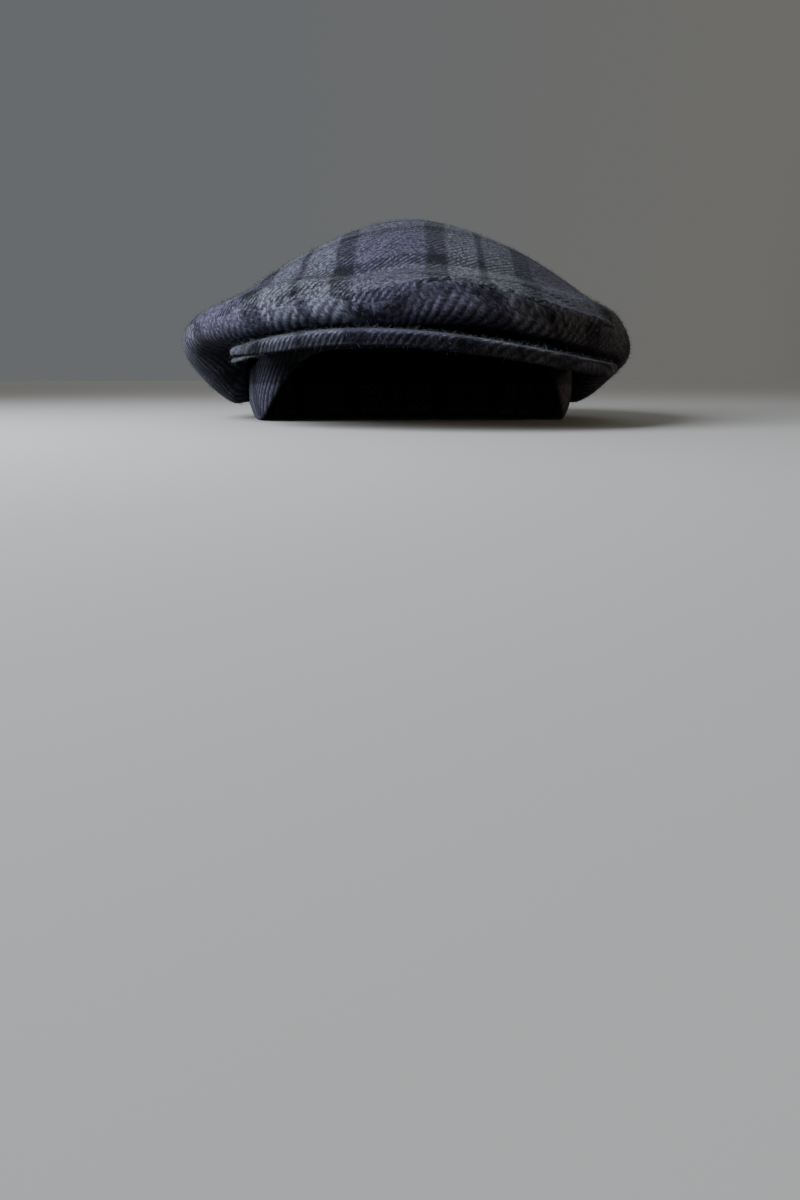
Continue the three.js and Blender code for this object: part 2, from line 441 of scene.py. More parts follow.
def press_ribs(piece, shares):
    """Keeps how far the ribs of the cloth are pressed flat at each point, for the material."""
    flat = piece.data.attributes.new(FLATTENED, "FLOAT", "POINT")
    flat.data.foreach_set("value", np.asarray(shares, np.float32))


def finish_piece(piece, slot, *materials):
    """Smooth shading, materials and body of a finished piece; its slot is not used."""
    for material in materials:
        piece.data.materials.append(material)
    select_only(piece)
    bpy.ops.object.shade_smooth()
    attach(piece, BODY)


class CrownGrid:
    """Rows and columns of the crown's outer wall: row 0 is its top, column 0 its back."""

    CREST_SHARE = 0.5  # of the rows, where the solid has its crest
    RIDGE_SHARE = 0.58  # of the rows, where the top panel ends

    def __init__(self, piece):
        points = places(piece)
        self.rows = steps_from(piece, int(points[:, 2].argmax()))
        self.last = int(self.rows.max())
        self.crest = round(self.CREST_SHARE * self.last)
        self.ridge = round(self.RIDGE_SHARE * self.last)
        self.apex = points[self.rows == 0][0]
        self.column_count = int((self.rows == self.ridge).sum())
        self.front = self.column_count // 2
        self.angles = np.linspace(-math.pi, math.pi, self.column_count + 1)
        half_step = math.pi / self.column_count
        self.columns = np.zeros(len(points), int)
        self.places = np.empty((self.last + 1, self.column_count, 3))
        for row in range(self.last + 1):
            ring = np.flatnonzero(self.rows == row)
            if row == 0:
                self.places[0] = points[ring[0]]
                continue
            turned = azimuths(points[ring], points[ring].mean(axis=0))
            order = ring[np.argsort((turned + math.pi + half_step) % (2 * math.pi))]
            self.columns[order] = np.arange(self.column_count)
            self.places[row] = points[order]
        self.measure()

    def measure(self):
        """Lengths down each column and along the ridge."""
        lengths = np.linalg.norm(np.diff(self.places, axis=0), axis=2)
        self.down = np.vstack([np.zeros(self.column_count), np.cumsum(lengths, axis=0)])
        ring = np.vstack([self.places[self.ridge], self.places[self.ridge][:1]])
        along = np.append(0, np.cumsum(np.linalg.norm(np.diff(ring, axis=0), axis=1)))
        self.along = along - along[self.front]

    def lay_ridge(self, piece):
        """Slides the points down their columns until the ridge row lies on the ridge line."""
        drops = table_column(RIDGE_LINE, "drop", self.angles[:-1]) * MM
        moved = np.empty_like(self.places)
        for column, drop in enumerate(drops):
            down = self.down[:, column]
            wanted = np.interp(
                down, (0, down[self.ridge], down[-1]), (0, down[self.crest] + drop, down[-1])
            )
            for axis in range(3):
                moved[:, column, axis] = np.interp(wanted, down, self.places[:, column, axis])
        self.places = moved
        self.measure()
        move_to(piece, moved[self.rows, self.columns])


def crown_outer_wall():
    """The crown's outer wall as clean quads, without its inner wall."""
    piece = merged_copy("crown", "crown_cloth")
    rows = steps_from(piece, int(places(piece)[:, 2].argmax()))
    edit_selected(piece, vertices=np.flatnonzero(rows > rows.max() // 2))
    bpy.ops.mesh.delete(type="VERT")
    bpy.ops.object.mode_set(mode="OBJECT")
    grid = CrownGrid(piece)
    diagonals = []
    for edge in piece.data.edges:
        a, b = edge.vertices
        across_rows = grid.rows[a] != grid.rows[b] and min(grid.rows[a], grid.rows[b]) > 0
        if across_rows and grid.columns[a] != grid.columns[b]:
            diagonals.append(edge.index)
    edit_selected(piece, edges=diagonals)
    bpy.ops.mesh.dissolve_edges(use_verts=False)
    bpy.ops.object.mode_set(mode="OBJECT")
    return piece, CrownGrid(piece)


def top_weave(grid, row, column):
    """Cloth coordinates of the top panel, laid out flat from its middle."""
    down = grid.down[row, column]
    place = grid.places[row, column]
    angle = math.atan2(place[0] - grid.apex[0], grid.apex[1] - place[1])
    forward = down * math.cos(angle)
    veer = TOP_SHEAR * (forward - TOP_SHEAR_FROM * MM)
    right = down * math.sin(angle) + veer - TOP_STRIPE_RIGHT * MM
    return right, (forward - TOP_STRIPE_FORWARD * MM) / TOP_STRETCH


def ridge_weave(grid):
    """Cloth coordinate along the ridge: the top's at the front, then the length of the ridge itself."""
    right = np.zeros(grid.column_count + 1)
    right[grid.front] = top_weave(grid, grid.ridge, grid.front)[0]
    for way in (1, -1):
        column = grid.front + way
        while 0 <= column <= grid.column_count:
            if abs(grid.angles[column]) < math.radians(ONE_CLOTH):
                right[column] = top_weave(grid, grid.ridge, column)[0]
            else:
                step = grid.along[column] - grid.along[column - way]
                right[column] = right[column - way] + GATHER * step
            column += way
    return right


def lay_weave_on_crown(piece, grid):
    """Maps the cloth in metres: the top panel flat from its middle, the side panel along the ridge."""
    skew = table_column(ROLL_PULL, "skew", grid.angles)
    along = ridge_weave(grid) - table_column(ROLL_PULL, "tuck", grid.angles) * MM
    layer = piece.data.uv_layers.new(name=WEAVE_MAP)
    for face in piece.data.polygons:
        spot = [(grid.rows[v], grid.columns[v]) for v in face.vertices]
        side_panel = min(row for row, _ in spot) >= grid.ridge
        wraps = {column for _, column in spot} >= {0, grid.column_count - 1}
        for loop, (row, column) in zip(face.loop_indices, spot):
            if side_panel:
                station = column + grid.column_count if wraps and column == 0 else column
                below = grid.down[row, column] - grid.down[grid.ridge, column]
                right = along[station] - skew[station] * below
                layer.data[loop].uv = (right, below - ROLL_STRIPE_FORWARD * MM)
            else:
                layer.data[loop].uv = top_weave(grid, row, column)


def mark_below_ridge(piece, grid):
    """Keeps each point's distance down the cloth from the ridge, for folds after smoothing."""
    below = piece.data.attributes.new(BELOW_RIDGE, "FLOAT", "POINT")
    values = grid.down[grid.rows, grid.columns] - grid.down[grid.ridge, grid.columns]
    below.data.foreach_set("value", values.astype(np.float32))


def take_below_ridge(piece):
    """Reads the distances that mark_below_ridge keeps, and removes them from the piece."""
    mark = piece.data.attributes[BELOW_RIDGE]
    below = np.empty(len(piece.data.vertices))
    mark.data.foreach_get("value", below)
    piece.data.attributes.remove(mark)
    return below


def fold_lift(angle, below):
    """How far the fine folds lift the cloth, in metres."""
    lift = np.zeros(len(angle))
    for fold in FINE_FOLDS:
        away = (np.degrees(angle) - fold["angle"] + 180) % 360 - 180
        turn = away / fold["spread"]
        step = (below / MM - fold["below"]) / fold["width"]
        lift += fold["lift"] * MM * np.exp(-turn * turn - step * step)
    seam = smooth_step(np.degrees(np.abs(angle)), *SEAM_STARTS)
    lift -= SEAM_DEPTH * MM * seam * np.exp(-((below / MM / SEAM_WIDTH) ** 2))
    return lift


def node(tree, kind, links=None, inputs=None, **settings):
    """Adds a shader node with its settings, its fixed inputs and the sockets that lead into it."""
    made = tree.nodes.new(kind)
    for setting, value in settings.items():
        setattr(made, setting, value)
    for socket, value in (inputs or {}).items():
        made.inputs[socket].default_value = value
    for socket, source in (links or {}).items():
        tree.links.new(source, made.inputs[socket])
    return made


def spans(source, target):
    """The inputs that carry values from one span to another."""
    return {"From Min": source[0], "From Max": source[1], "To Min": target[0], "To Max": target[1]}


def new_material(name, sockets):
    """A material with these fixed values on its shader."""
    material = bpy.data.materials.new(name)
    material.use_nodes = True
    shader = material.node_tree.nodes["Principled BSDF"]
    for socket, value in sockets.items():
        shader.inputs[socket].default_value = value
    return material, material.node_tree, shader


def laid_threads(tree, weave):
    """The cloth's place, a little out of line, as threads lie after fulling."""
    drift = node(
        tree,
        "ShaderNodeTexNoise",
        {"Vector": weave},
        {"Scale": 1 / (DRIFT_SIZE * MM), "Detail": 3.0, "Roughness": 0.6},
    )
    wander = node(
        tree,
        "ShaderNodeVectorMath",
        {0: drift.outputs["Color"]},
        {1: (0.5, 0.5, 0.5)},
        operation="SUBTRACT",
    )
    laid = node(
        tree,
        "ShaderNodeVectorMath",
        {0: wander.outputs[0], 2: weave},
        {1: (DRIFT_REACH * MM, DRIFT_REACH * MM, 0)},
        operation="MULTIPLY_ADD",
    )
    return laid.outputs[0]


def thread_count(tree, place, spacing):
    """Place across the cloth in threads, the thread's number and the place across that thread."""
    counted = node(tree, "ShaderNodeMath", {0: place}, {1: spacing}, operation="DIVIDE").outputs[0]
    number = node(tree, "ShaderNodeMath", {0: counted}, operation="FLOOR").outputs[0]
    across = node(tree, "ShaderNodeMath", {0: counted}, operation="FRACT").outputs[0]
    return counted, number, across


def twill_floats(tree, laid, spacing):
    """Where the warp lies on top, how high the yarn stands, and a random number for each float."""
    axes = node(tree, "ShaderNodeSeparateXYZ", {0: laid})
    warp_place, warp_thread, warp_across = thread_count(tree, axes.outputs["X"], spacing)
    weft_place, weft_thread, weft_across = thread_count(tree, axes.outputs["Y"], spacing)
    threads = node(tree, "ShaderNodeMath", {0: warp_thread, 1: weft_thread}, operation="ADD").outputs[0]
    step = node(tree, "ShaderNodeMath", {0: threads}, {1: REPEAT}, operation="FLOORED_MODULO").outputs[0]
    warp_over = node(tree, "ShaderNodeMath", {0: step}, {1: FLOAT}, operation="LESS_THAN").outputs[0]

    across = node(tree, "ShaderNodeMix", {"Factor": warp_over, "A": weft_across, "B": warp_across})
    onward = node(tree, "ShaderNodeMix", {"Factor": warp_over, "A": warp_across, "B": weft_across})
    in_float = node(tree, "ShaderNodeMath", {0: step}, {1: FLOAT}, operation="FLOORED_MODULO")
    reach = node(tree, "ShaderNodeMath", {0: in_float.outputs[0], 1: onward.outputs[0]}, operation="ADD")
    arch = node(tree, "ShaderNodeMath", {0: reach.outputs[0]}, {1: math.pi / FLOAT}, operation="MULTIPLY")
    arched = node(tree, "ShaderNodeMath", {0: arch.outputs[0]}, operation="SINE")
    bend = node(tree, "ShaderNodeMath", {0: across.outputs[0]}, {1: math.pi}, operation="MULTIPLY")
    rounded = node(tree, "ShaderNodeMath", {0: bend.outputs[0]}, operation="SINE")
    float_height = node(
        tree, "ShaderNodeMath", {0: arched.outputs[0], 1: rounded.outputs[0]}, operation="MULTIPLY"
    )

    rib_place = node(tree, "ShaderNodeMath", {0: warp_place, 1: weft_place}, operation="ADD")
    rib_turn = node(
        tree,
        "ShaderNodeMath",
        {0: rib_place.outputs[0]},
        {1: 2 * math.pi / REPEAT, 2: -math.pi},
        operation="MULTIPLY_ADD",
    )
    rib_wave = node(tree, "ShaderNodeMath", {0: rib_turn.outputs[0]}, operation="COSINE")
    rib = node(
        tree, "ShaderNodeMath", {0: rib_wave.outputs[0]}, {1: 0.5, 2: 0.5}, operation="MULTIPLY_ADD"
    )
    yarn = node(
        tree,
        "ShaderNodeMath",
        {0: float_height.outputs[0], 2: rib.outputs[0]},
        {1: FLOAT_RELIEF},
        operation="MULTIPLY_ADD",
    )

    float_row = node(tree, "ShaderNodeMath", {0: threads}, {1: REPEAT}, operation="DIVIDE")
    float_number = node(tree, "ShaderNodeMath", {0: float_row.outputs[0]}, operation="FLOOR")
    float_thread = node(tree, "ShaderNodeMix", {"Factor": warp_over, "A": weft_thread, "B": warp_thread})
    float_name = node(
        tree,
        "ShaderNodeCombineXYZ",
        {0: float_thread.outputs[0], 1: float_number.outputs[0], 2: warp_over},
    )
    chance = node(tree, "ShaderNodeTexWhiteNoise", {"Vector": float_name.outputs[0]})
    return warp_over, yarn.outputs[0], chance.outputs["Value"]


def stripe_ramp(tree, place, cloth, wide, dark, pale):
    """The check's stripes across one way of the cloth, run together at their edges."""
    widths = (
        (cloth.purple_stripe / 2, wide),
        (cloth.black_stripe, dark),
        (cloth.grey_stripe, pale),
        (cloth.line_stripe, dark),
        (cloth.grey_stripe, pale),
        (cloth.black_stripe, dark),
        (cloth.purple_stripe / 2, wide),
    )
    repeat = sum(width for width, _ in widths)
    share = node(tree, "ShaderNodeMath", {0: place}, {1: repeat}, operation="DIVIDE")
    turn = node(tree, "ShaderNodeMath", {0: share.outputs[0]}, operation="FRACT")
    ramp = node(tree, "ShaderNodeValToRGB", {0: turn.outputs[0]})
    stops = ramp.color_ramp.elements
    stops.remove(stops[1])
    stops[0].position = 0
    stops[0].color = wide
    edge = 0
    for (width, colour), (_, following) in zip(widths, widths[1:]):
        edge += width
        stops.new((edge - cloth.stripe_blend / 2) / repeat).color = colour
        stops.new((edge + cloth.stripe_blend / 2) / repeat).color = following
    return ramp.outputs["Color"]


def check_colour(tree, place, warp_over, pressed, cloth, yarns):
    """The stripes of warp and weft, mixed by which of the two lies on top."""
    axes = node(tree, "ShaderNodeSeparateXYZ", {0: place})
    warp = stripe_ramp(tree, axes.outputs["X"], cloth, *yarns)
    weft = stripe_ramp(tree, axes.outputs["Y"], cloth, *yarns)
    most = node(tree, "ShaderNodeMapRange", {"Value": pressed}, spans((0, 1), WARP_OVER))
    share = node(
        tree,
        "ShaderNodeMapRange",
        {"Value": warp_over, "To Max": most.outputs[0]},
        {"To Min": WARP_UNDER},
    )
    woven = node(
        tree, "ShaderNodeMix", {"Factor": share.outputs[0], "A": weft, "B": warp}, data_type="RGBA"
    )
    return woven.outputs["Result"]


def yarn_tone_and_painted_rib_shade(tree, yarn, chance, fibre, pressed):
    """Multiplies the yarn's colour: painted shade between the ribs and painted highlight on their tops,
    uneven from float to float and specked with fibre.
    """
    # Painted shade in the hollows between the ribs and painted highlight on their tops, evened out where
    # the ribs are pressed.
    open_rib_painted_shade = node(tree, "ShaderNodeMapRange", {"Value": yarn}, spans(RIB_HEIGHTS, RIB_PAINTED_SHADES))
    rib = node(tree, "ShaderNodeMix", {"Factor": pressed, "A": open_rib_painted_shade.outputs[0]}, {"B": PRESSED_SHADE})
    palest = node(tree, "ShaderNodeMapRange", {"Value": pressed}, spans((0, 1), FLOAT_PALEST))
    darkest = node(tree, "ShaderNodeMath", {1: palest.outputs[0]}, {0: 2.0}, operation="SUBTRACT")
    melange = node(
        tree,
        "ShaderNodeMapRange",
        {"Value": chance, "To Min": darkest.outputs[0], "To Max": palest.outputs[0]},
    )
    specks = node(tree, "ShaderNodeMapRange", {"Value": fibre}, spans(FIBRE_VALUES, FIBRE_SHADES))
    heather = node(
        tree, "ShaderNodeMath", {0: melange.outputs[0], 1: specks.outputs[0]}, operation="MULTIPLY"
    )
    tone_and_painted_shade = node(
        tree, "ShaderNodeMath", {0: rib.outputs[0], 1: heather.outputs[0]}, operation="MULTIPLY"
    )
    return tone_and_painted_shade.outputs[0]


def yarn_relief(tree, yarn, fibre, pressed):
    """The bump of the ribs, which pressing takes away, with the fibre's own on it."""
    standing = node(tree, "ShaderNodeMath", {1: pressed}, {0: 1.0}, operation="SUBTRACT")
    ribs = node(tree, "ShaderNodeMath", {0: yarn, 1: standing.outputs[0]}, operation="MULTIPLY")
    height = node(
        tree,
        "ShaderNodeMath",
        {0: fibre, 2: ribs.outputs[0]},
        {1: FIBRE_RELIEF},
        operation="MULTIPLY_ADD",
    )
    bump = node(
        tree, "ShaderNodeBump", {"Height": height.outputs[0]}, {"Strength": 1.0, "Distance": RELIEF * MM}
    )
    return bump.outputs[0]


def woollen_twill(name, context, yarns):
    """Woollen twill, woven two threads over and two under from yarn for wide, dark and pale stripes.

    The eye gets slanting ribs with a dark line between them, from their bump and from painted shade, and
    painted highlight on their tops, soft stripes that mix where they cross, specks of lighter fibre in
    the yarn and a pale bloom of nap at grazing angles.
    """
    cloth = context.scene.flat_cap_cloth
    bloom = context.scene.flat_cap_colours.bloom
    material, tree, shader = new_material(name, {**WOOL, "Sheen Tint": bloom})
    weave = node(tree, "ShaderNodeUVMap", uv_map=WEAVE_MAP).outputs[0]
    pressed = node(tree, "ShaderNodeAttribute", attribute_name=FLATTENED).outputs["Fac"]
    fibre = node(
        tree,
        "ShaderNodeTexNoise",
        {"Vector": weave},
        {"Scale": 1 / (FIBRE_SIZE * MM), "Detail": 4.0, "Roughness": 0.85},
    )
    laid = laid_threads(tree, weave)
    warp_over, yarn, chance = twill_floats(tree, laid, cloth.thread)
    frayed = node(
        tree,
        "ShaderNodeVectorMath",
        {0: fibre.outputs["Color"], 2: laid},
        {1: (FRAY_REACH * MM, FRAY_REACH * MM, 0)},
        operation="MULTIPLY_ADD",
    )
    woven = check_colour(tree, frayed.outputs[0], warp_over, pressed, cloth, yarns)
    tone_and_painted_shade = yarn_tone_and_painted_rib_shade(tree, yarn, chance, fibre.outputs["Fac"], pressed)
    # The base colour carries painted shade between the ribs and painted highlight on their tops.
    base_colour = node(tree, "ShaderNodeVectorMath", {0: woven, "Scale": tone_and_painted_shade}, operation="SCALE")
    tree.links.new(base_colour.outputs[0], shader.inputs["Base Color"])
    tree.links.new(yarn_relief(tree, yarn, fibre.outputs["Fac"], pressed), shader.inputs["Normal"])
    return material


def wool_check(context):
    """The checked twill of the crown, band and peak, made once."""
    name = "woollen_twill_check"
    colours = context.scene.flat_cap_colours
    yarns = (colours.purple, colours.black, colours.grey)
    return bpy.data.materials.get(name) or woollen_twill(name, context, yarns)


def cloth_back(colour):
    """Inner side of the woollen cloth: one dull colour with fibre specks."""
    material, tree, shader = new_material("woollen_cloth_back", {**WOOL, "Sheen Roughness": 0.5})
    spot = node(tree, "ShaderNodeTexCoord")
    fibre = node(
        tree,
        "ShaderNodeTexNoise",
        {"Vector": spot.outputs["Object"]},
        {"Scale": 1 / (BACK_FIBRE_SIZE * MM), "Detail": 3.0, "Roughness": 0.7},
    )
    specks = node(
        tree,
        "ShaderNodeMapRange",
        {"Value": fibre.outputs["Fac"]},
        spans(BACK_FIBRE_VALUES, BACK_FIBRE_SHADES),
    )
    base_colour = node(
        tree, "ShaderNodeVectorMath", {"Scale": specks.outputs[0]}, {0: colour[:3]}, operation="SCALE"
    )
    bump = node(
        tree,
        "ShaderNodeBump",
        {"Height": fibre.outputs["Fac"]},
        {"Strength": 1.0, "Distance": BACK_RELIEF * MM},
    )
    tree.links.new(base_colour.outputs[0], shader.inputs["Base Color"])
    tree.links.new(bump.outputs[0], shader.inputs["Normal"])
    return material


def loose_wool(colour):
    """Loose wool fibre: hairs that blur the outline and soften the stripes, paler than the yarn, partly
    their own colour and partly painted highlight of the light they catch.
    """
    return new_material("loose_wool_fibre", {**LOOSE_WOOL, "Base Color": colour})[0]


def pale_paper(colour):
    """Matt pale paper: an even floor that takes soft shadows and gives no gloss."""
    return new_material("matt_pale_paper", {**PAPER, "Base Color": colour})[0]


class CAP_OT_crown(bpy.types.Operator):
    """Makes the crown: a wool shell with a soft roll over the peak"""

    bl_idname = "flat_cap.crown"
    bl_label = "Crown"

    def execute(self, context):
        cloth = context.scene.flat_cap_cloth
        piece, grid = crown_outer_wall()
        grid.lay_ridge(piece)
        lay_weave_on_crown(piece, grid)
        mark_below_ridge(piece, grid)
        grow(
            piece,
            "Subsurf",
            levels=SMOOTHING,
            render_levels=SMOOTHING,
            uv_smooth="PRESERVE_BOUNDARIES",
        )
        below = take_below_ridge(piece)
        points = places(piece)
        lift = fold_lift(azimuths(points, grid.places[grid.ridge].mean(axis=0)), below)
        for wave in SLACK_WAVES:
            lift += cloth.slackness * wave["share"] * soft_noise(points, wave["size"] * MM, wave["seed"])
        move_to(piece, points + normals(piece) * lift[:, None])
        press_ribs(piece, TOP_FLATTENED * (1 - smooth_step(below / MM, *RIBS_RISE)))
        grow(piece, "Solidify", thickness=cloth.wall, offset=-1, use_even_offset=True, material_offset=1)
        inside = cloth_back(context.scene.flat_cap_colours.back)
        finish_piece(piece, "crown_cloth", wool_check(context), inside)
        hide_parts("crown")
        return {"FINISHED"}


class CAP_OT_band(bpy.types.Operator):
    """Makes the band round the cap's opening"""

    bl_idname = "flat_cap.band"
    bl_label = "Band"

    def execute(self, context):
        piece = smooth_copy("band", "band_cloth")
        points = places(piece)
        points[:, 2] -= points[:, 2].min()
        move_to(piece, points)
        centre = (points.min(axis=0) + points.max(axis=0)) / 2
        radius = np.linalg.norm(points[:, :2] - centre[:2], axis=1).mean()
        turned = azimuths(points, centre)
        layer = piece.data.uv_layers.new(name=WEAVE_MAP)
        for face in piece.data.polygons:
            wraps = np.ptp(turned[list(face.vertices)]) > math.pi
            for loop, vertex in zip(face.loop_indices, face.vertices):
                angle = turned[vertex]
                angle = angle + 2 * math.pi if wraps and angle < 0 else angle
                layer.data[loop].uv = (angle * radius, -points[vertex, 2])
        finish_piece(piece, "band_cloth", wool_check(context))
        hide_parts("band")
        return {"FINISHED"}


def peak_edge(points):
    """Distance back from the peak's free edge in mm, and height of that edge's top."""
    stations = np.linspace(points[:, 0].min(), points[:, 0].max(), PEAK_STATIONS)
    nearest = np.abs(points[:, 0, None] - stations).argmin(axis=1)
    strips = [points[nearest == station] for station in range(len(stations))]
    edge = [strip[:, 1].min() for strip in strips]
    crest = [
        strip[strip[:, 1] < front + PEAK_EDGE * MM, 2].max() for strip, front in zip(strips, edge)
    ]
    depth = (points[:, 1] - np.interp(points[:, 0], stations, edge)) / MM
    return depth, np.interp(points[:, 0], stations, crest)


def turn_down_lip(piece):
    """Turns the upper cover's free edge down and back."""
    points = places(piece)
    depth, _ = peak_edge(points)
    share = smooth_step(points[:, 0] / MM, *LIP_FROM) * (1 - smooth_step(depth, *LIP_DEPTH))
    share *= smooth_step(-normals(piece)[:, 2], *LIP_FACING)
    points[:, 2] -= LIP_DROP * MM * share
    points[:, 1] += LIP_TURN * MM * share
    move_to(piece, points)


def set_back_edge(piece):
    """Sets the under cover's free edge back behind the lip and lets it hang at the left tip."""
    points = places(piece)
    depth, _ = peak_edge(points)
    share = smooth_step(points[:, 0] / MM, *LIP_FROM)
    points[:, 2] -= UNDER_TIP_DROP * MM * (1 - share)
    points[:, 1] += UNDER_SET_BACK * MM * share * (1 - smooth_step(depth, *UNDER_DEPTH))
    move_to(piece, points)


def lay_weave_on_peak(piece):
    """Maps the cloth in metres, seen from above and drawn round the free edge."""
    points = places(piece)
    depth, crest = peak_edge(points)
    turned = EDGE_STRETCH * np.where(depth < PEAK_EDGE, np.maximum(crest - points[:, 2], 0), 0)
    right = points[:, 0] - PEAK_STRIPE_RIGHT * MM
    forward = turned - points[:, 1] - PEAK_STRIPE_FORWARD * MM
    layer = piece.data.uv_layers.new(name=WEAVE_MAP)
    for face in piece.data.polygons:
        for loop, vertex in zip(face.loop_indices, face.vertices):
            layer.data[loop].uv = (right[vertex], forward[vertex])


class CAP_OT_peak(bpy.types.Operator):
    """Makes the peak's upper and under covers"""

    bl_idname = "flat_cap.peak"
    bl_label = "Peak"

    def execute(self, context):
        # The under cover's colour carries painted shade for its place under the peak.
        under_yarns = [context.scene.flat_cap_colours.under] * 3
        under_wool = woollen_twill("woollen_twill_grey", context, under_yarns)
        for node_name, name, slot, shape_edge, material in (
            ("peak_upper", "peak_upper_cover", "peak_cloth", turn_down_lip, wool_check(context)),
            ("peak_under", "peak_under_cover", "peak_under_cloth", set_back_edge, under_wool),
        ):
            piece = smooth_copy(node_name, name)
            shape_edge(piece)
            lay_weave_on_peak(piece)
            press_ribs(piece, np.full(len(piece.data.vertices), PEAK_FLATTENED))
            finish_piece(piece, slot, material)
            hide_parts(node_name)
        return {"FINISHED"}


def fibre_roots(piece, count, chance):
    """Places and normals of random spots on the outer side of a piece."""
    faces = [f for f in piece.data.polygons if f.material_index == 0 and len(f.vertices) == 4]
    areas = np.array([f.area for f in faces])
    picked = chance.choice(len(faces), count, p=areas / areas.sum())
    corners = np.array([f.vertices for f in faces])[picked]
    a, b = chance.random((2, count, 1))
    shares = np.stack([(1 - a) * (1 - b), a * (1 - b), a * b, (1 - a) * b], axis=1)
    facing = (normals(piece)[corners] * shares).sum(axis=1)
    facing /= np.linalg.norm(facing, axis=1)[:, None]
    return (places(piece)[corners] * shares).sum(axis=1), facing


def fibre_corners(roots, facing, cloth, chance):
    """The seven corners of each fibre, which leans over and bends on its way out."""
    count = len(roots)
    lean = chance.normal(size=(count, 3))
    lean -= (lean * facing).sum(axis=1)[:, None] * facing
    lean /= np.linalg.norm(lean, axis=1)[:, None]
    side = np.cross(facing, lean)
    rise = chance.uniform(*FIBRE_RISE, (count, 1))
    start = rise * facing + np.sqrt(1 - rise * rise) * lean
    growth = chance.random((count, 1)) ** 2
    length = cloth.nap_length * (FIBRE_SHORTEST + (1 - FIBRE_SHORTEST) * growth)
    bend = chance.uniform(-FIBRE_BEND, FIBRE_BEND, (count, 1)) * side
    bend -= chance.uniform(0, FIBRE_DROOP, (count, 1)) * facing
    middle = roots + start * length / 2
    tip = middle + (start + bend) * length / 2
    inner = roots - facing * cloth.nap_thickness
    corners = np.empty((count, FIBRE_CORNERS, 3))
    for corner in range(3):
        turn = 2 * math.pi * corner / 3
        away = (math.cos(turn) * side + math.sin(turn) * np.cross(start, side)) * cloth.nap_thickness / 2
        corners[:, corner] = inner + away
        corners[:, corner + 3] = middle + away * FIBRE_TAPER
    corners[:, -1] = tip
    return corners


def fibre_piece(name, corners):
    """One mesh of all the fibres."""
    firsts = FIBRE_CORNERS * np.arange(len(corners))
    faces = (np.array(FIBRE_FACES)[None] + firsts[:, None, None]).reshape(-1)
    mesh = bpy.data.meshes.new(name)
    mesh.vertices.add(FIBRE_CORNERS * len(corners))
    mesh.vertices.foreach_set("co", corners.ravel())
    mesh.loops.add(len(faces))
    mesh.loops.foreach_set("vertex_index", faces)
    mesh.polygons.add(len(faces) // 3)
    mesh.polygons.foreach_set("loop_start", np.arange(0, len(faces), 3))
    mesh.update(calc_edges=True)
    piece = bpy.data.objects.new(name, mesh)
    bpy.context.collection.objects.link(piece)
    return piece


class CAP_OT_nap(bpy.types.Operator):
    """Makes the nap: loose wool fibres that stand off the crown and the peak"""

    bl_idname = "flat_cap.nap"
    bl_label = "Nap"

    def execute(self, context):
        cloth = context.scene.flat_cap_cloth
        chance = np.random.default_rng(NAP_SEED)
        loose = loose_wool(context.scene.flat_cap_colours.fibre)
        for bearer, name, slot, count in (
            ("crown_cloth", "crown_nap_1", "crown_cloth", cloth.crown_fibres // 2),
            ("crown_cloth", "crown_nap_2", "crown_cloth", cloth.crown_fibres // 2),
            ("peak_upper_cover", "peak_upper_nap", "peak_cloth", cloth.peak_fibres),
            ("peak_under_cover", "peak_under_nap", "peak_under_cloth", cloth.peak_fibres // 2),
        ):
            roots, facing = fibre_roots(bpy.data.objects[bearer], count, chance)
            piece = fibre_piece(name, fibre_corners(roots, facing, cloth, chance))
            finish_piece(piece, slot, loose)
        return {"FINISHED"}


def lay_floor(colours):
    bpy.ops.object.select_all(action="DESELECT")
    bpy.ops.mesh.primitive_plane_add(size=FLOOR_SIZE)
    floor = bpy.context.object
    floor.name = "floor"
    floor.data.materials.append(pale_paper(colours.floor))
    floor.visible_diffuse = False  # keeps its glow off the underside of the cap


def hang_lights(colours):
    """A near spot from the left and three weak suns, all turned to the middle of the cap."""
    low, high = CAD_BOX
    middle = (Vector(low) + Vector(high)) / 2
    for row in LIGHTS:
        turn = (middle - Vector(row["place"])).to_track_quat("-Z", "Y").to_euler()
        bpy.ops.object.light_add(type=row["kind"], location=row["place"], rotation=turn)
        light = bpy.context.object
        light.name = row["name"]
        light.data.energy = row["power"]
        light.data.color = getattr(colours, row["name"])[:3]
        light.visible_camera = False
        if row["kind"] == "SPOT":
            light.data.shadow_soft_size = KEY_RADIUS
            light.data.spot_size = KEY_CONE
            light.data.spot_blend = 1.0  # so that no edge of a lit field shows on the floor
        else:
            light.data.angle = SUN_SPREAD


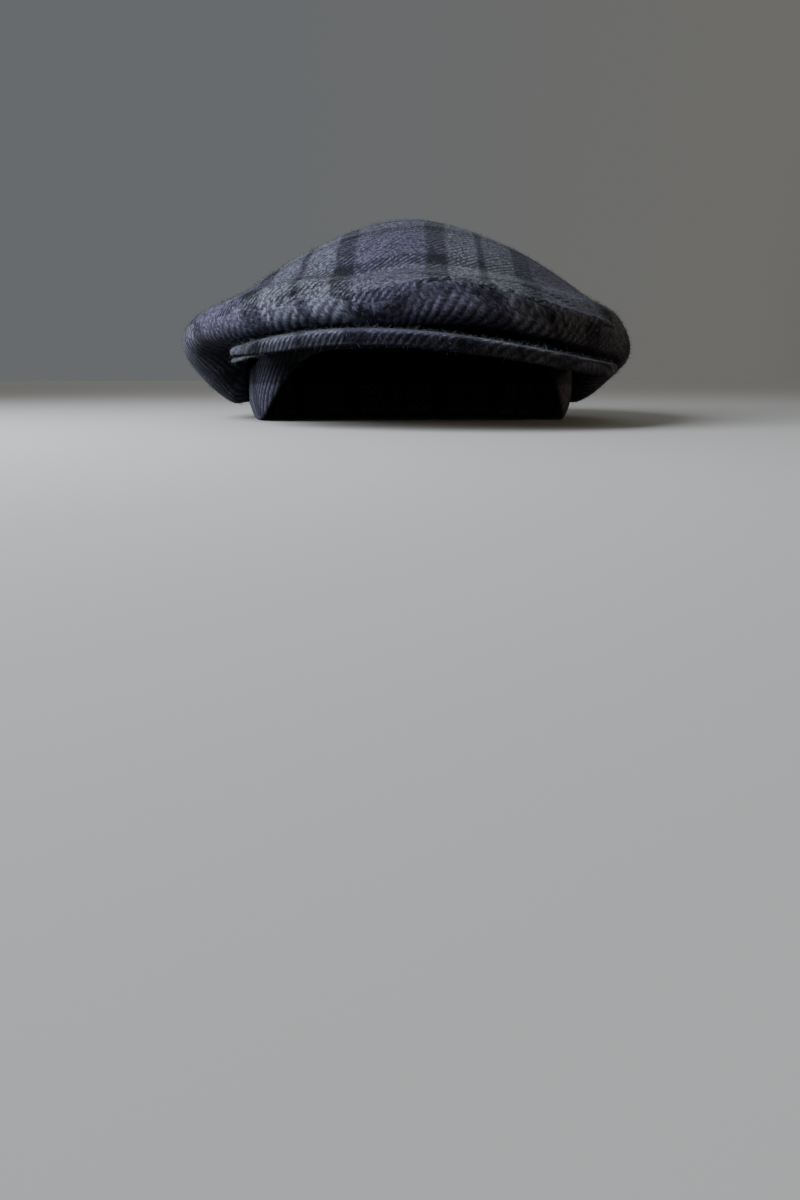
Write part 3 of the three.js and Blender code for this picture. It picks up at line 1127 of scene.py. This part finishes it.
def soft_surround(colours):
    """Light from all round, darker at +X and below the horizon."""
    world = bpy.data.worlds.new("soft_surround")
    world.use_nodes = True
    tree = world.node_tree
    way = node(tree, "ShaderNodeTexCoord")
    axes = node(tree, "ShaderNodeSeparateXYZ", {0: way.outputs["Generated"]})
    above = node(tree, "ShaderNodeMapRange", {"Value": axes.outputs["Z"]}, spans(HORIZON_FADE, (0, 1)))
    across = node(tree, "ShaderNodeMapRange", {"Value": axes.outputs["X"]}, spans((-1, 1), (0, 1)))
    sky = node(tree, "ShaderNodeValToRGB", {0: across.outputs[0]})
    sky.color_ramp.interpolation = "EASE"
    stops = sky.color_ramp.elements
    stops.remove(stops[1])
    first, *others = SURROUND_STOPS
    stops[0].position = first["place"]
    stops[0].color = getattr(colours, first["colour"])
    for stop in others:
        stops.new(stop["place"]).color = getattr(colours, stop["colour"])
    glow = node(
        tree,
        "ShaderNodeMix",
        {"Factor": above.outputs[0], "B": sky.outputs["Color"]},
        {"A": colours.under_light},
        data_type="RGBA",
    )
    background = tree.nodes["Background"]
    background.inputs["Strength"].default_value = SURROUND_STRENGTH
    tree.links.new(glow.outputs["Result"], background.inputs["Color"])
    return world


class CAP_OT_stage(bpy.types.Operator):
    """Makes the pale floor, the soft lights and the camera"""

    bl_idname = "flat_cap.stage"
    bl_label = "Stage"

    def execute(self, context):
        colours = context.scene.flat_cap_colours
        lay_floor(colours)
        hang_lights(colours)
        context.scene.world = soft_surround(colours)
        bpy.ops.object.camera_add(location=CAMERA_PLACE, rotation=(CAMERA_PITCH, 0, CAMERA_TURN))
        camera = context.object
        camera.data.sensor_width = SENSOR
        camera.data.lens = FOCAL_PIXELS / IMAGE_HEIGHT * SENSOR
        camera.data.clip_start = CAMERA_NEAR
        context.scene.camera = camera
        return {"FINISHED"}


class CAP_PT_panel(bpy.types.Panel):
    """Lists the cap's pieces and sizes"""

    bl_idname = "CAP_PT_panel"
    bl_label = "Flat cap"
    bl_space_type = "VIEW_3D"
    bl_region_type = "UI"
    bl_category = "Flat cap"

    def draw(self, context):
        for group in (context.scene.flat_cap_cloth, context.scene.flat_cap_colours):
            for name in group.__annotations__:
                self.layout.prop(group, name)
        for maker in MAKERS:
            self.layout.operator(maker.bl_idname)


MAKERS = (CAP_OT_crown, CAP_OT_band, CAP_OT_peak, CAP_OT_nap, CAP_OT_stage)
CLASSES = (FlatCapCloth, FlatCapColours, *MAKERS, CAP_PT_panel)


def register():
    for made in CLASSES:
        bpy.utils.register_class(made)
    bpy.types.Scene.flat_cap_cloth = bpy.props.PointerProperty(type=FlatCapCloth)
    bpy.types.Scene.flat_cap_colours = bpy.props.PointerProperty(type=FlatCapColours)


def unregister():
    del bpy.types.Scene.flat_cap_colours
    del bpy.types.Scene.flat_cap_cloth
    for made in reversed(CLASSES):
        bpy.utils.unregister_class(made)


def main():
    register()
    bpy.ops.flat_cap.crown()
    bpy.ops.flat_cap.band()
    bpy.ops.flat_cap.peak()
    bpy.ops.flat_cap.nap()
    bpy.ops.flat_cap.stage()


if __name__ == "__main__":
    main()
